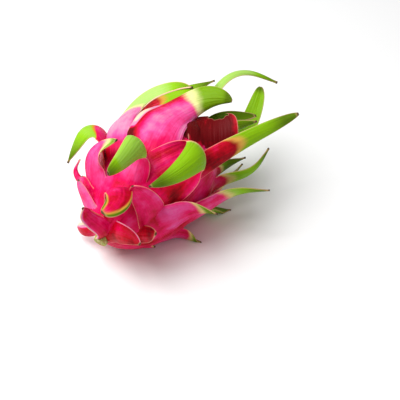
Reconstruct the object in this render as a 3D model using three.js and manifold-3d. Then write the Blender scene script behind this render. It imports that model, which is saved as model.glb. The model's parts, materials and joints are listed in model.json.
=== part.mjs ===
// A whole dragon fruit lying on its side: one solid, as it grew, with its leathery scales fused to the skin.
// Millimetres and degrees. +Z is up, +X runs from the cut stem towards the crown, and the fruit rests on a
// small flat spot in the plane z = 0, whose centre is the origin.
//
// Along a scale, u runs from 0 at the root to 1 at the tip, and across it v runs from -1 to 1. What shapes
// a scale is listed above SCALE_DEFAULTS.
import * as THREE from "three";
import { mergeVertices } from "three/addons/utils/BufferGeometryUtils.js";
import Module from "manifold-3d";

const wasm = await Module();
wasm.setup();

// Body: an egg shape, a little fuller towards the crown.
const BODY_LENGTH = 116;
const BODY_RADIUS = 40;
const CROWN_END_FULLNESS = 0.06;
const BODY_SIDES = 36;
const BODY_RINGS = 16;

// Navel: the shallow hollow inside the crown, where the flower fell off.
const NAVEL_RADIUS = 12;
const NAVEL_DEPTH = 9;
const NAVEL_PROFILE = [[0.8, 0.1], [0.55, 0.7], [0, 1]]; // shares of its rim's radius and of its depth

// Stem: the short stub left by the knife, a little off the fruit's axis.
const STUB_RADIUS = 5.5;
const STUB_END_SHARE = 0.9;
const STUB_ROOT_SHARE = 1.25;
const STUB_LENGTH = 5;
const STUB_ROOT = 9;
const STUB_OFFSET = 2;
const STUB_TURN = 128;
const STUB_LEAN = 12;
const STUB_SIDES = 12;

// Pose: how far the axis rises towards the crown, and how deep the resting spot is pressed in.
const AXIS_RISE = 16.2;
const SPOT_DEPTH = 2.2;
const CUT_SPAN = 400;
const CUT_DEPTH = 80;

// Scales: blades that are thick along the middle and thin at the margins.
const ROOT_DEPTH = 2.8;
const ROOT_RISE = 13;
const ROOT_THICKNESS = 5.0;
const MIDDLE_THICKNESS = 2.6;
const TIP_THICKNESS = 1.3;
const MARGIN_THICKNESS = 0.9;
const TIP_HALF_WIDTH = 0.8;
const STEP_LENGTH = 10;
const LEAST_STEPS = 4;
const SCALE_COLUMNS = 4;
const SPINE_STEPS = 60;
const ROOT_SHARE = 0.35;
const PITCH_SHARE = 0.5;
const BEND_SPREAD = 0.25;
const CUP_LEAD = 0.35;
const LEAST_CUP = 0.1;
const MOST_ROOT_CUP = 0.8;
const RIPPLE_RATE = 7;
const TEAR = { broad: 0.7, broadRate: 3.4, broadStart: 0.9, fine: 0.2, fineRate: 17 };
const FLOOR_CLEARANCE = 0.7;

const rad = THREE.MathUtils.degToRad;
const { lerp, smoothstep, clamp } = THREE.MathUtils;

const rise = rad(AXIS_RISE);
const AXIS = new THREE.Vector3(Math.cos(rise), 0, Math.sin(rise));
const UPPER = new THREE.Vector3(-Math.sin(rise), 0, Math.cos(rise));
const FRONT = new THREE.Vector3(0, -1, 0);

// The stem pole, placed so that the lowest point of the skin is SPOT_DEPTH under the origin.
const halfLength = BODY_LENGTH / 2;
const drop = Math.hypot(halfLength * Math.sin(rise), BODY_RADIUS * Math.cos(rise));
const lean = ((halfLength ** 2 - BODY_RADIUS ** 2) * Math.sin(rise) * Math.cos(rise)) / drop;
const BODY_CENTRE = new THREE.Vector3(lean, 0, drop - SPOT_DEPTH);
const STEM_POLE = BODY_CENTRE.clone().addScaledVector(AXIS, -halfLength);

const radialAt = (turn) =>
  UPPER.clone().multiplyScalar(Math.cos(rad(turn))).addScaledVector(FRONT, Math.sin(rad(turn)));
const aroundAt = (turn) =>
  UPPER.clone().multiplyScalar(-Math.sin(rad(turn))).addScaledVector(FRONT, Math.cos(rad(turn)));

// Radius of the skin at an angle from the stem pole, seen from the body's centre.
const skinRadius = (angle) => BODY_RADIUS * Math.sin(angle) * (1 - CROWN_END_FULLNESS * Math.cos(angle));
const skinHeight = (angle) => halfLength * (1 - Math.cos(angle));
const angleAt = (at) => Math.acos(clamp(1 - at / halfLength, -1, 1));

// Angle between the skin and the axis, in degrees: positive where the body widens towards the crown.
function skinSlope(at) {
  const angle = clamp(angleAt(at), 0.05, Math.PI - 0.05);
  const step = 0.01;
  const widening = skinRadius(angle + step) - skinRadius(angle - step);
  const advance = skinHeight(angle + step) - skinHeight(angle - step);
  return THREE.MathUtils.radToDeg(Math.atan2(widening, advance));
}

function solidOf(geometry) {
  geometry.deleteAttribute("normal");
  geometry.deleteAttribute("uv");
  const merged = mergeVertices(geometry, 1e-3);
  return new wasm.Manifold(
    new wasm.Mesh({
      numProp: 3,
      vertProperties: merged.attributes.position.array,
      triVerts: new Uint32Array(merged.index.array),
    }),
  );
}

function bodySolid() {
  const profile = [];
  const rim = Math.PI - Math.asin(NAVEL_RADIUS / BODY_RADIUS);
  for (let ring = 0; ring <= BODY_RINGS; ring++) {
    const angle = (rim * ring) / BODY_RINGS;
    profile.push(new THREE.Vector2(skinRadius(angle), skinHeight(angle)));
  }
  const rimPoint = profile.at(-1);
  profile[0].x = 0;
  for (const [width, depth] of NAVEL_PROFILE)
    profile.push(new THREE.Vector2(rimPoint.x * width, rimPoint.y - NAVEL_DEPTH * depth));
  const geometry = new THREE.LatheGeometry(profile, BODY_SIDES);
  geometry.applyMatrix4(new THREE.Matrix4().makeBasis(FRONT, AXIS, UPPER).setPosition(STEM_POLE));
  return solidOf(geometry);
}

function stubSolid() {
  const outward = AXIS.clone()
    .multiplyScalar(-Math.cos(rad(STUB_LEAN)))
    .addScaledVector(radialAt(STUB_TURN), Math.sin(rad(STUB_LEAN)));
  const length = STUB_LENGTH + STUB_ROOT;
  const [end, root] = [STUB_RADIUS * STUB_END_SHARE, STUB_RADIUS * STUB_ROOT_SHARE];
  const geometry = new THREE.CylinderGeometry(end, root, length, STUB_SIDES);
  geometry.translate(0, length / 2 - STUB_ROOT, 0);
  geometry.applyQuaternion(new THREE.Quaternion().setFromUnitVectors(new THREE.Vector3(0, 1, 0), outward));
  const foot = STEM_POLE.clone().addScaledVector(radialAt(STUB_TURN), STUB_OFFSET);
  geometry.translate(foot.x, foot.y, foot.z);
  return solidOf(geometry);
}

// The line along the middle of a scale, with the directions along (t), across (b) and out of (n) the blade.
function spineOf(scale) {
  const radial = radialAt(scale.turn);
  const around = aroundAt(scale.turn);
  const slope = skinSlope(scale.at);
  const angle = angleAt(scale.at);
  const normal = radial.clone()
    .multiplyScalar(Math.cos(rad(slope)))
    .addScaledVector(AXIS, -Math.sin(rad(slope)));
  const point = STEM_POLE.clone()
    .addScaledVector(AXIS, skinHeight(angle))
    .addScaledVector(radial, skinRadius(angle))
    .addScaledVector(normal, -ROOT_DEPTH);
  const veer = rad(scale.veer);
  const heading = AXIS.clone().multiplyScalar(Math.cos(veer)).addScaledVector(around, Math.sin(veer));
  const side = AXIS.clone().multiplyScalar(-Math.sin(veer)).addScaledVector(around, Math.cos(veer));
  const framesAt = (u) => {
    const rootPitch = slope + ROOT_RISE;
    const middlePitch = lerp(rootPitch, scale.pitch, smoothstep(u, 0, PITCH_SHARE));
    const tipShare = smoothstep(u, scale.bend - BEND_SPREAD, scale.bend + BEND_SPREAD);
    const pitch = rad(lerp(middlePitch, scale.tipPitch, tipShare));
    const yaw = rad(scale.yaw * u * u + scale.swing * tipShare);
    const twist = rad(scale.twist * u);
    const forward = heading.clone().multiplyScalar(Math.cos(pitch)).addScaledVector(radial, Math.sin(pitch));
    const out = heading.clone().multiplyScalar(-Math.sin(pitch)).addScaledVector(radial, Math.cos(pitch));
    const t = forward.clone().multiplyScalar(Math.cos(yaw)).addScaledVector(side, Math.sin(yaw));
    const b = forward.clone().multiplyScalar(-Math.sin(yaw)).addScaledVector(side, Math.cos(yaw));
    return {
      t,
      b: b.clone().multiplyScalar(Math.cos(twist)).addScaledVector(out, Math.sin(twist)),
      n: out.clone().multiplyScalar(Math.cos(twist)).addScaledVector(b, -Math.sin(twist)),
    };
  };
  const points = [point.clone()];
  const step = scale.length / SPINE_STEPS;
  for (let i = 0; i < SPINE_STEPS; i++) {
    point.addScaledVector(framesAt((i + 0.5) / SPINE_STEPS).t, step);
    points.push(point.clone());
  }
  return (u) => {
    const place = clamp(u, 0, 1) * SPINE_STEPS;
    const i = Math.min(Math.floor(place), SPINE_STEPS - 1);
    return { p: points[i].clone().lerp(points[i + 1], place - i), ...framesAt(u) };
  };
}

// Where a scale's blade ends at each place across it: the whole length, or a ragged tear with broad and
// fine teeth.
const reachOf = (scale, v) =>
  1 -
  scale.torn *
    (1 + TEAR.broad * Math.sin(TEAR.broadRate * v + TEAR.broadStart) + TEAR.fine * Math.sin(TEAR.fineRate * v));

function halfWidthOf(scale, u, v) {
  const full = scale.full * Math.exp(scale.lop * v);
  return Math.max(TIP_HALF_WIDTH, scale.halfWidth * (1 - u ** full) ** scale.blunt);
}

const sinc = (x) => (Math.abs(x) < 1e-6 ? 1 : Math.sin(x) / x);

// How far a scale is curved across: as the skin at its root, then its own, then that of its tip.
function cupOf(scale, u, rootCup) {
  const cup = lerp(rootCup, scale.cup, smoothstep(u, 0.1, 0.8));
  return lerp(cup, scale.tipCup, smoothstep(u, scale.bend - CUP_LEAD, scale.bend));
}

function thicknessOf(u, v) {
  const root = lerp(ROOT_THICKNESS, MIDDLE_THICKNESS, smoothstep(u, 0, ROOT_SHARE));
  const core = lerp(root, TIP_THICKNESS, smoothstep(u, ROOT_SHARE, 1));
  return lerp(core, MARGIN_THICKNESS, v * v);
}

function scaleSolid(scale) {
  const spine = spineOf(scale);
  const skin = skinRadius(angleAt(scale.at)) || 1;
  const rows = Math.max(LEAST_STEPS, Math.round(scale.length / STEP_LENGTH));
  const columns = SCALE_COLUMNS;
  const middle = [];
  const places = [];
  for (let i = 0; i <= rows; i++) {
    for (let j = 0; j <= columns; j++) {
      const v = (2 * j) / columns - 1;
      const u = (i / rows) * reachOf(scale, v);
      const halfWidth = halfWidthOf(scale, u, v);
      const cup = cupOf(scale, u, clamp(halfWidth / skin, LEAST_CUP, MOST_ROOT_CUP));
      const { p, b, n } = spine(u);
      const ripple = scale.ripple * v * Math.abs(v) * Math.sin(RIPPLE_RATE * u + scale.turn);
      p.addScaledVector(b, halfWidth * v * sinc(cup * v));
      p.addScaledVector(n, ripple - halfWidth * v * Math.sin((cup * v) / 2) * sinc((cup * v) / 2));
      p.z = Math.max(p.z, FLOOR_CLEARANCE);
      middle.push(p);
      places.push([u, v]);
    }
  }
  const index = (i, j) => i * (columns + 1) + j;
  const outer = [];
  const inner = [];
  for (let i = 0; i <= rows; i++) {
    for (let j = 0; j <= columns; j++) {
      const further = middle[index(Math.min(i + 1, rows), j)];
      const nearer = middle[index(Math.max(i - 1, 0), j)];
      const right = middle[index(i, Math.min(j + 1, columns))];
      const left = middle[index(i, Math.max(j - 1, 0))];
      const normal = right.clone().sub(left).cross(further.clone().sub(nearer)).normalize();
      const half = thicknessOf(...places[index(i, j)]) / 2;
      outer.push(middle[index(i, j)].clone().addScaledVector(normal, half));
      inner.push(middle[index(i, j)].clone().addScaledVector(normal, -half));
    }
  }
  const count = outer.length;
  const triangles = [];
  const quad = (a, b, c, d) => triangles.push(a, b, c, a, c, d);
  for (let i = 0; i < rows; i++) {
    for (let j = 0; j < columns; j++) {
      const [a, b, c, d] = [index(i, j), index(i, j + 1), index(i + 1, j + 1), index(i + 1, j)];
      quad(a, b, c, d);
      triangles.push(count + a, count + c, count + b, count + a, count + d, count + c);
    }
    quad(index(i, 0), index(i + 1, 0), count + index(i + 1, 0), count + index(i, 0));
    const [e, f] = [index(i, columns), index(i + 1, columns)];
    quad(f, e, count + e, count + f);
  }
  for (let j = 0; j < columns; j++) {
    quad(index(0, j + 1), index(0, j), count + index(0, j), count + index(0, j + 1));
    quad(index(rows, j), index(rows, j + 1), count + index(rows, j + 1), count + index(rows, j));
  }
  const corners = [...outer, ...inner].flatMap((p) => p.toArray());
  const geometry = new THREE.BufferGeometry();
  geometry.setAttribute("position", new THREE.Float32BufferAttribute(corners, 3));
  geometry.setIndex(triangles);
  return solidOf(geometry);
}

// What shapes a scale:
//   at         height of its root along the fruit's axis, from the stem pole
//   turn       angle of its root round the axis, from the fruit's upper side towards -Y
//   pitch      way that its middle points: 0 along the axis to the crown, 90 out of the skin, 180 to the stem
//   tipPitch   way that its tip points, reached around u = bend
//   veer       turn of the plane that it grows in, away from the axis
//   yaw, swing sideways curve: yaw is reached at the tip, and swing is added around u = bend
//   twist      turn about its own middle line, reached at the tip
//   full       outline: 1 tapers evenly, more stays broad for longer; blunt under 1 rounds the tip
//   lop        how much fuller the outline is at v = 1 than at the middle, and leaner at v = -1
//   cup        half of the angle that it is curved across, in radians, and tipCup the same past its bend:
//              under 0 the margins turn outwards; ripple is the wave of the margins
//   torn       share of its length that is torn off
const SCALE_DEFAULTS = {
  bend: 0.65, veer: 0, yaw: 0, swing: 0, twist: 0, lop: 0, blunt: 1, cup: 0.5, tipCup: 0.5, ripple: 0.6,
  torn: 0,
};

// The scales of the upper and front sides and of the crown, each as it grew.
const FRONT_SCALES = [
  // round the stem
  { at: 0.5, turn: 42.2, length: 50.3, halfWidth: 9.9, pitch: 8.2, tipPitch: 62.7, bend: 0.6, veer: -100,
    yaw: -41.9, swing: 14, twist: 26.9, full: 1.33, lop: -1.2, blunt: 0.84, cup: 0.42, tipCup: -0.11 },
  { at: 0.5, turn: -114.8, length: 32.4, halfWidth: 6.8, pitch: 110, tipPitch: 70.9, bend: 0.63,
    veer: -10.6, yaw: -4.9, twist: -15, full: 2.99, blunt: 0.51, cup: 0.48, tipCup: 0.38 },
  { at: 0.5, turn: 51, length: 46.3, halfWidth: 9.1, pitch: 93.6, tipPitch: 67.9, bend: 0.56, veer: 37,
    yaw: 41.3, twist: 2.7, full: 2.75, blunt: 0.69, cup: 0.48, tipCup: 0.29 },
  { at: 8.2, turn: 75.6, length: 42.6, halfWidth: 7.2, pitch: 66.8, tipPitch: 113, bend: 0.35, veer: 28.5,
    yaw: -4.6, swing: -21, twist: 15.1, full: 2.44, lop: -0.36, blunt: 0.68, cup: 0.3, tipCup: 0.09 },
  // lower belly
  { at: 8.3, turn: 39.6, length: 74.1, halfWidth: 10.4, pitch: -7, tipPitch: 132, bend: 0.39, veer: -59.3,
    yaw: -89.8, swing: 12, twist: 12.6, full: 3.5, lop: 0.3, blunt: 0.4, cup: 0.49, tipCup: -0.38 },
  { at: 1.9, turn: -39.4, length: 35.4, halfWidth: 11.6, pitch: 67.2, tipPitch: 75.8, bend: 0.46,
    veer: -5.6, yaw: 23.5, twist: 1.3, full: 1.91, blunt: 0.75, cup: 0.48, tipCup: 0.19 },
  { at: 13.4, turn: -55.3, length: 46.5, halfWidth: 5.3, pitch: 95.1, tipPitch: 10.9, bend: 0.52,
    veer: -32.8, yaw: -15, twist: -39.1, full: 0.58, blunt: 0.79, cup: 0.49, tipCup: 0.41 },
  { at: 9.7, turn: -50.1, length: 23.8, halfWidth: 11.2, pitch: 80.2, tipPitch: 52.9, bend: 0.66,
    veer: 3.5, yaw: -1.9, twist: -16.8, full: 3.09, blunt: 0.4, cup: 0.27, tipCup: 0.06 },
  { at: 25.3, turn: 74.5, length: 44.9, halfWidth: 10.9, pitch: 17.9, tipPitch: -3.5, bend: 0.5,
    veer: -87.7, yaw: -16.9, twist: 60, full: 3.09, blunt: 0.5, cup: 0.38, tipCup: -0.07 },
  // girth
  { at: 21.7, turn: 21.1, length: 90.4, halfWidth: 12.1, pitch: 1.8, tipPitch: 171.4, bend: 0.48,
    veer: -17.4, yaw: -30.4, swing: 5.2, twist: 58.6, full: 3.41, lop: 0.31, blunt: 0.47, cup: 0.32,
    tipCup: -0.96 },
  { at: 10.7, turn: -34.7, length: 65.3, halfWidth: 13.1, pitch: 55.9, tipPitch: 2.2, bend: 0.6, veer: -5,
    yaw: 73.3, swing: 27.3, twist: -17.1, full: 1.81, lop: 0.84, blunt: 0.77, cup: 0.81, tipCup: -0.42 },
  { at: 31.2, turn: -50.6, length: 73.1, halfWidth: 15.2, pitch: 33.4, tipPitch: 198.9, bend: 0.5,
    veer: 17, yaw: 16.1, twist: 59, full: 1.88, blunt: 1.08, cup: 0.47, tipCup: -0.47 },
  { at: 40.4, turn: 34.8, length: 110.3, halfWidth: 26.9, pitch: -15.3, tipPitch: 174.5, bend: 0.42,
    veer: 12, yaw: -32.5, swing: 22.9, twist: -0.4, full: 0.7, lop: 0.26, blunt: 0.7, cup: 0.45,
    tipCup: -1 },
  // shoulder
  { at: 43, turn: -10.2, length: 108.9, halfWidth: 13.8, pitch: -22.5, tipPitch: -7.9, bend: 0.77,
    veer: -40.8, yaw: 90, swing: 19.3, twist: 4.3, full: 2.85, lop: -1.2, blunt: 1.3, cup: 0.58,
    tipCup: -1 },
  { at: 52.3, turn: 18.3, length: 97.8, halfWidth: 26.5, pitch: -29.5, tipPitch: 34.7, bend: 0.71,
    veer: -19.9, yaw: 63.7, swing: 20, twist: -5.3, full: 0.96, lop: -0.84, blunt: 0.59, cup: -0.2,
    tipCup: 1 },
  { at: 61.8, turn: 57.5, length: 98.8, halfWidth: 8.8, pitch: 31, tipPitch: 26.9, bend: 0.85, veer: 5.9,
    yaw: 7.3, twist: 4.5, full: 1.46, blunt: 0.47, cup: 0.61, tipCup: 0.32 },
  { at: 61.1, turn: -51.2, length: 93.6, halfWidth: 17.8, pitch: 19.8, tipPitch: -26, bend: 0.35,
    veer: 1.1, yaw: 24.8, twist: -60, full: 1.64, blunt: 1.11, tipCup: 0.05 },
  { at: 74, turn: 102, length: 70, halfWidth: 9, pitch: 34, tipPitch: -12, bend: 0.63, veer: 9, yaw: -6,
    twist: 12, full: 1.4 },
  { at: 86, turn: 98, length: 36, halfWidth: 8, pitch: 12, tipPitch: 24, veer: 8, full: 1.5 },
  // crown
  { at: 90.3, turn: 76.1, length: 42.3, halfWidth: 20.2, pitch: 15.7, tipPitch: -40.7, bend: 0.39,
    veer: -45.4, yaw: 35.3, swing: 12, twist: 60, full: 7.84, lop: 0.51, blunt: 0.4, cup: 0.6,
    tipCup: -0.39, torn: 0.07 },
  { at: 103, turn: -39.9, length: 103.2, halfWidth: 6.3, pitch: 11.7, tipPitch: -61.9, veer: 10.2,
    yaw: -2.6, twist: -60, full: 1.37, blunt: 0.69, cup: 0.46, tipCup: 0.33 },
  { at: 104.9, turn: 158.2, length: 87, halfWidth: 8.2, pitch: 54.2, tipPitch: -22.8, bend: 0.48,
    veer: -8.6, yaw: 29.9, twist: -55, full: 3.13, blunt: 0.4, tipCup: 0.37 },
  { at: 100, turn: 285, length: 44, halfWidth: 13, pitch: 12, tipPitch: -16, full: 1.5 },
  { at: 103, turn: 328, length: 34, halfWidth: 9, pitch: 12, tipPitch: 0, full: 1.6 },
  { at: 84.3, turn: 44.4, length: 43.5, halfWidth: 11, pitch: 5.6, tipPitch: -52.8, bend: 0.37, veer: -38,
    yaw: 31.7, swing: 6.3, twist: -12.3, full: 3.86, lop: -0.82, blunt: 0.73, cup: 0.42, tipCup: 0.51 },
  { at: 104.9, turn: 75.1, length: 45.9, halfWidth: 10.3, pitch: 31.3, tipPitch: 45.7, bend: 0.63,
    veer: -1.6, yaw: 9.2, twist: 4.3, full: 1.76, blunt: 0.89, tipCup: 0.54 },
  { at: 112, turn: 153.4, length: 55.3, halfWidth: 12, pitch: -2.1, tipPitch: 31.5, bend: 0.51,
    veer: -23.3, yaw: 10.5, twist: -40.3, full: 1.65, blunt: 0.66, cup: 0.52, tipCup: 0.99 },
];

// The rows of the far and under sides, evenly round the fruit with a little wobble.
const FAR_ROWS = [
  { at: 4, from: 135, step: 46, count: 3, length: 32, halfWidth: 14, pitch: 46, tipPitch: 64, full: 1.8 },
  { at: 20, from: 88, step: 46, count: 5, length: 52, halfWidth: 18, pitch: 24, tipPitch: 60, full: 1.7 },
  { at: 42, from: 110, step: 46, count: 4, length: 70, halfWidth: 20, pitch: 14, tipPitch: 60, full: 1.5 },
  { at: 64, from: 134, step: 47, count: 4, length: 66, halfWidth: 18, pitch: 4, tipPitch: 4, full: 1.4 },
  { at: 88, from: 160, step: 40, count: 3, length: 64, halfWidth: 14, pitch: 0, tipPitch: -2, full: 1.3 },
];
const TURN_WOBBLE = 6;
const LENGTH_WOBBLE = 0.12;
const TIP_WOBBLE = 24;
const VEER_WOBBLE = 10;

function farScales() {
  const scales = [];
  for (const { from, step, count, ...scale } of FAR_ROWS) {
    for (let i = 0; i < count; i++) {
      const place = scales.length + 1;
      scales.push({
        ...scale,
        turn: from + step * i + TURN_WOBBLE * Math.sin(2.4 * place),
        length: scale.length * (1 + LENGTH_WOBBLE * Math.sin(3.7 * place)),
        tipPitch: scale.tipPitch + TIP_WOBBLE * Math.sin(5.3 * place),
        veer: VEER_WOBBLE * Math.sin(4.1 * place),
      });
    }
  }
  return scales;
}

const allScales = () =>
  [...FRONT_SCALES, ...farScales()].map((scale) => ({ ...SCALE_DEFAULTS, ...scale }));

// The body, the stub and every scale as one solid, with what is under the resting spot's plane cut away.
function fruitSolid() {
  const bare = bodySolid().add(stubSolid());
  const grown = allScales().map(scaleSolid).reduce((whole, part) => whole.add(part), bare);
  const below = new THREE.BoxGeometry(CUT_SPAN, CUT_SPAN, CUT_DEPTH).translate(0, 0, -CUT_DEPTH / 2);
  return grown.subtract(solidOf(below));
}

function meshOf(name, solid, material) {
  const { vertProperties, triVerts } = solid.getMesh();
  const geometry = new THREE.BufferGeometry();
  geometry.setAttribute("position", new THREE.BufferAttribute(vertProperties, 3));
  geometry.setIndex(new THREE.BufferAttribute(triVerts, 1));
  geometry.computeVertexNormals();
  const mesh = new THREE.Mesh(geometry, material);
  mesh.name = name;
  return mesh;
}

const skin = new THREE.MeshStandardMaterial({ color: 0xe0206a, roughness: 0.42, metalness: 0 });

const group = new THREE.Group();
group.add(meshOf("dragon_fruit", fruitSolid(), skin));

export default group;
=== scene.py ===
"""A whole dragon fruit lying on its side: an egg-shaped body in leathery scales, grown as one piece.

Metres and radians, except in SCALES, FAR_ROWS and the skin's maps, which are in millimetres and degrees.
+Z is up, +X runs from the cut stem towards the crown, and the fruit rests on a small flat spot round the
origin.

Along a scale, u runs from 0 at the root to 1 at the tip; across it, v runs from -1 to 1.
"""

import json
import math

import bpy
import numpy as np
from bpy.props import FloatProperty, FloatVectorProperty, PointerProperty
from mathutils import Matrix, Vector, kdtree

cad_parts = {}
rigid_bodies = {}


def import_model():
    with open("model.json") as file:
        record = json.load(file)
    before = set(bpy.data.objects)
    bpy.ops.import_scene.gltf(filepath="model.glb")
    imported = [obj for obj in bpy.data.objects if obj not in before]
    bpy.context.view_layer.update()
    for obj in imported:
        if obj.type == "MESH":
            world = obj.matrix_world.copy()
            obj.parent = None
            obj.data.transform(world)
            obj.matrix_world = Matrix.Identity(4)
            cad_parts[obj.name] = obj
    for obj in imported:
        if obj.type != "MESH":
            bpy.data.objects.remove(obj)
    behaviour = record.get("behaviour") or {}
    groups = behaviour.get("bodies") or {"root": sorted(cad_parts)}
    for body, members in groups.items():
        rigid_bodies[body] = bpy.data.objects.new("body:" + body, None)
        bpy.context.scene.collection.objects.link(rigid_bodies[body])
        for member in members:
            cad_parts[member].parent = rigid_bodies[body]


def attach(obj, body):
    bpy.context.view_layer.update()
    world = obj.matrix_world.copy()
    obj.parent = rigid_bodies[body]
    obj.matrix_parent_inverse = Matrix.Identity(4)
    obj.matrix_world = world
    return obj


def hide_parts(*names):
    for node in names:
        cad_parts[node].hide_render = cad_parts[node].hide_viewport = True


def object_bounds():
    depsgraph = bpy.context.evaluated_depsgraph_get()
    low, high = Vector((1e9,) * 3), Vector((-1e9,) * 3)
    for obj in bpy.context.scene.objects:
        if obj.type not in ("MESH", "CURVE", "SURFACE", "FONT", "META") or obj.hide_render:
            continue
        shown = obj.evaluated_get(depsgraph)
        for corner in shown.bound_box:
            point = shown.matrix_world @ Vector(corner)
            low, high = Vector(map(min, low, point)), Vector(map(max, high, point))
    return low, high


bl_info = {
    "name": "Dragon Fruit",
    "version": (1, 0, 0),
    "blender": (4, 5, 0),
    "location": "View3D > Sidebar > Dragon Fruit",
    "description": "Grows a whole red dragon fruit on a pale studio floor",
    "category": "Add Mesh",
}

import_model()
CAD_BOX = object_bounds()
MM = 0.001

BODY_NAME = "dragon_fruit_body"
STUB_NAME = "dragon_fruit_stub"
SCALE_NAME = "dragon_fruit_scale"
FRUIT_NAME = "dragon_fruit_whole"
SCALES_COLLECTION = "dragon_fruit_scales"

# The maps that the skin's material reads, each a pair of numbers for every corner of a face:
#   blade     u, and how far the margin is
#   grain     place along the scale and across it
#   ripening  u where it turns green, and the share of its length that the change takes
#   tone      depth of its colour, from 0 for the palest pink to 1 for maroon, and how pale the change to green
#             is; the depth is partly the skin's own tone and partly painted light and shade, palest where
#             lit and deepest where shaded
#   ends      how far the tip is, as seen from a dead point of the usual length, and how dark the green is
BLADE, GRAIN, RIPENING, TONE, ENDS = "blade", "grain", "ripening", "tone", "ends"

# What bare skin carries: it turns green past the end of every scale, and no margin or tip is near.
NEVER = 4.0
FAR_AWAY = 30.0
BARE_SKIN = {
    BLADE: (0, FAR_AWAY),
    GRAIN: (0, 0),
    RIPENING: (NEVER, 0.2),
    TONE: (0.6, 0.5),
    ENDS: (FAR_AWAY, 0.8),
}

# What a pale rim takes off the depth, so that FLESH_DEPTH is reached.
PALE_RIM = 2.5

# What a face grew as, which it carries until the seams are softened. The scales count on from the first.
GROWTH = "growth"
AS_BODY, AS_STUB, AS_FIRST_SCALE = 0, 1, 2


# --------------------------------------------------------------------------------------------------
# What a user would change
# --------------------------------------------------------------------------------------------------


def length(name, description, default):
    return FloatProperty(
        name=name, description=description, default=default, min=0, unit="LENGTH", precision=4
    )


def angle(name, description, degrees):
    return FloatProperty(name=name, description=description, default=math.radians(degrees), unit="ROTATION")


def share(name, description, default):
    return FloatProperty(
        name=name, description=description, default=default, min=0, max=1, subtype="FACTOR"
    )


def colour(name, description, red, green, blue):
    """A colour property from sRGB values of 0 to 255."""
    channels = (red, green, blue)
    linear = [((c / 255 + 0.055) / 1.055) ** 2.4 if c > 10 else c / 255 / 12.92 for c in channels]
    return FloatVectorProperty(
        name=name, description=description, default=linear, min=0, max=1, size=3, subtype="COLOR"
    )


class BodySizes(bpy.types.PropertyGroup):
    """The body, its resting place, the navel at the crown and the cut stem."""

    length: length("Length", "From the stem pole to the crown", 0.116)
    radius: length("Radius", "Largest radius of the body", 0.040)
    fullness: share("Crown fullness", "How much fuller the crown end is", 0.06)
    rise: angle("Axis rise", "How far the axis rises towards the crown", 16.2)
    spot_depth: length("Spot depth", "How deep the resting spot is pressed in", 0.0022)
    navel_radius: length("Navel radius", "Radius of the hollow where the flower fell off", 0.012)
    navel_depth: length("Navel depth", "Depth of that hollow", 0.009)
    stub_radius: length("Stub radius", "Radius of the cut stem", 0.0055)
    stub_length: length("Stub length", "How far the cut stem stands out", 0.005)
    stub_root: length("Stub root", "How deep the cut stem is rooted", 0.009)
    stub_offset: length("Stub offset", "How far the stem stands off the axis", 0.002)
    stub_turn: angle("Stub turn", "Side towards which the stem leans", 128)
    stub_lean: angle("Stub lean", "How far the stem leans", 12)
    swelling: length("Swelling", "How far the skin swells under each scale", 0.0011)


class BladeSizes(bpy.types.PropertyGroup):
    """What all scales share."""

    root_depth: length("Root depth", "How deep a scale is rooted in the body", 0.0028)
    root_rise: angle("Root rise", "How steeply a scale leaves the skin", 13)
    root_thickness: length("Root thickness", "Thickness at the root", 0.005)
    middle_thickness: length("Middle thickness", "Thickness along the middle", 0.0026)
    tip_thickness: length("Tip thickness", "Thickness near the tip", 0.0013)
    margin_thickness: length("Margin thickness", "Thickness near the margins", 0.0009)
    tip_half_width: length("Tip half width", "Half of the width at the very tip", 0.0008)
    floor_clearance: length("Floor clearance", "Lowest that a scale's middle surface may run", 0.0007)
    step: length("Step", "Longest side of a face", 0.0019)


class SkinColours(bpy.types.PropertyGroup):
    """The colours of the skin and the scales."""

    # The palest pink is painted highlight on the lit thin bases, and also the colour of the pale specks.
    bloom_and_highlight: colour("Bloom", "Palest pink, on thin bases that catch the light", 214, 138, 172)
    # Hot pink is partly painted light: the skin lighter on its upper side, where the light falls.
    pink: colour("Pink", "Hot pink of the upper skin", 232, 78, 150)
    magenta: colour("Magenta", "Ripe skin", 226, 9, 92)
    # Crimson is painted shade in the folds between the scales.
    crimson: colour("Crimson", "Deep skin in the folds", 186, 2, 30)
    # Maroon is painted shade inside the crown.
    maroon: colour("Maroon", "Darkest skin, inside the crown", 98, 1, 7)
    cream: colour("Cream", "Between pink and green on broad scales", 232, 240, 168)
    amber: colour("Amber", "Between red and green on narrow scales", 206, 140, 20)
    # Pale green is partly painted highlight: the lightest green, given to green faces where the light
    # falls.
    pale_green: colour("Pale green", "Youngest green, in the highlights", 184, 218, 126)
    lime: colour("Lime", "Ripe green of the tips", 138, 190, 12)
    olive: colour("Olive", "Dark green of the old tips", 88, 118, 6)
    margin: colour("Margin", "Thin dry line along the margins", 250, 178, 150)
    flesh: colour("Flesh", "Pale band where a margin shows its thickness", 240, 205, 176)
    straw: colour("Straw", "Dried skin", 176, 146, 92)
    bark: colour("Bark", "Dead brown points", 74, 50, 34)


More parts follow.
